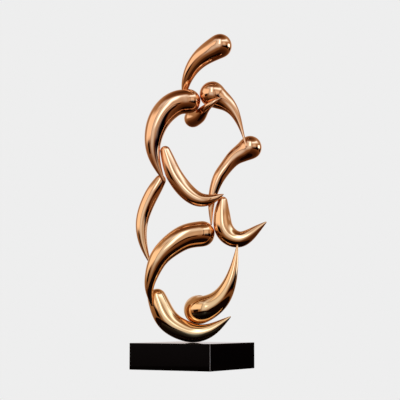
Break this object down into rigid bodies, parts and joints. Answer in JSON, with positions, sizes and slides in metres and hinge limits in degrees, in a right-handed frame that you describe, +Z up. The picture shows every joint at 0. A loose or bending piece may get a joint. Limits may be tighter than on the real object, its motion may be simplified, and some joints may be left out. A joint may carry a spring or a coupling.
{
  "type": "abstract metal sculpture",
  "caption": "Tall abstract sculpture of curved, mirror-polished metal drops welded tip to side above a square black plinth.",
  "frame": {"origin": "centre of the plinth's underside", "axes": "+Z up, X and Y along the plinth's sides, with the plinth's front face at -Y; the sculpture's broad plane is turned 30 degrees from X towards Y"},
  "size_m": [0.2692, 0.2039, 0.7433],
  "materials": {
    "polished_bronze": "polished",
    "black_stone": "polished"
  },
  "bodies": {
    "root": {"plinth": "black_stone", "bottom_cradle": "polished_bronze", "lower_arc": "polished_bronze", "horned_comma": "polished_bronze", "lower_comma": "polished_bronze", "left_crescent": "polished_bronze", "middle_cradle": "polished_bronze", "right_drop": "polished_bronze", "upper_arc": "polished_bronze", "shoulder_drop": "polished_bronze", "inner_drop": "polished_bronze", "top_drop": "polished_bronze"}
  },
  "joints": []
}
